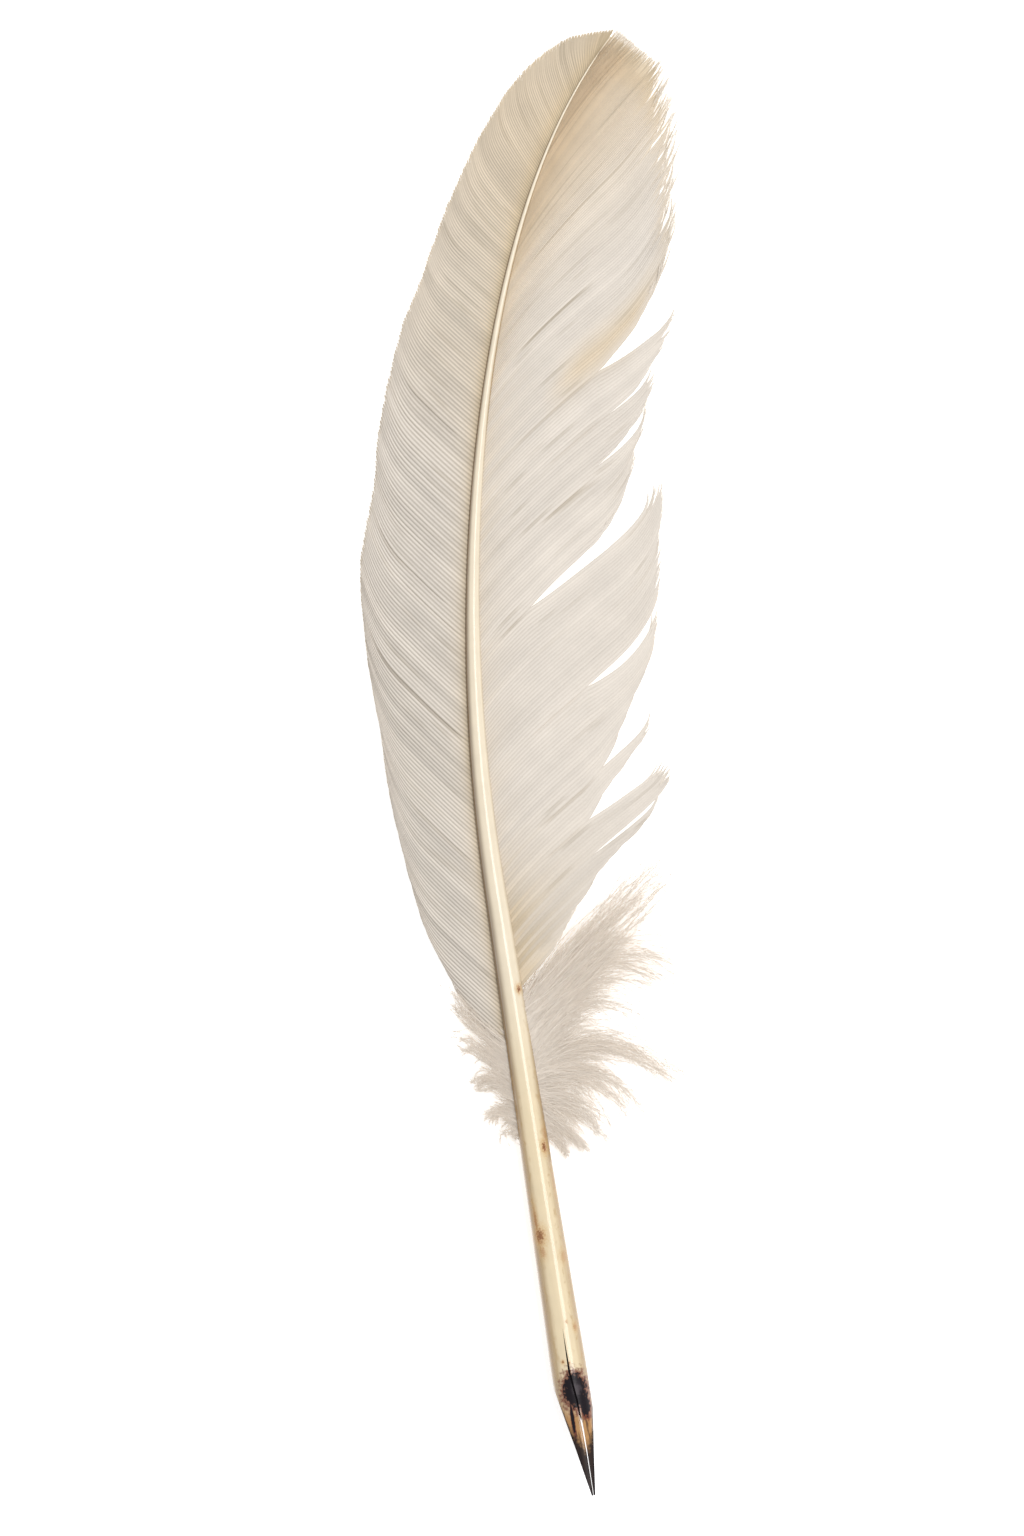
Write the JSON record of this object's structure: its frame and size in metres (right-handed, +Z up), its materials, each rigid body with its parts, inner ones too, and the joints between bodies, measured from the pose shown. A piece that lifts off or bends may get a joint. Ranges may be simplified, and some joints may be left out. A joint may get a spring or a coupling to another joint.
{
  "type": "goose quill feather",
  "caption": "Flight feather cut as a quill pen, lying down: hollow barrel with a slit nib, bent rachis, two unequal vanes with splits, and down tufts.",
  "frame": {"origin": "on the table, under the middle of the feather's bounding box as it lies", "axes": "+Y along the barrel from the nib to the vanes, +X towards the wide vane, +Z up out of the feather's upper side"},
  "size_m": [0.075, 0.277, 0.009],
  "materials": {
    "horn": "glossy cream horn of the barrel and rachis, with brown spots and an ink stain at the nib",
    "vane": "matt pale taupe barbs, finely striped along their lean",
    "down": "soft matt greyish white fluff"
  },
  "bodies": {
    "root": {"feather": "horn"}
  },
  "joints": []
}
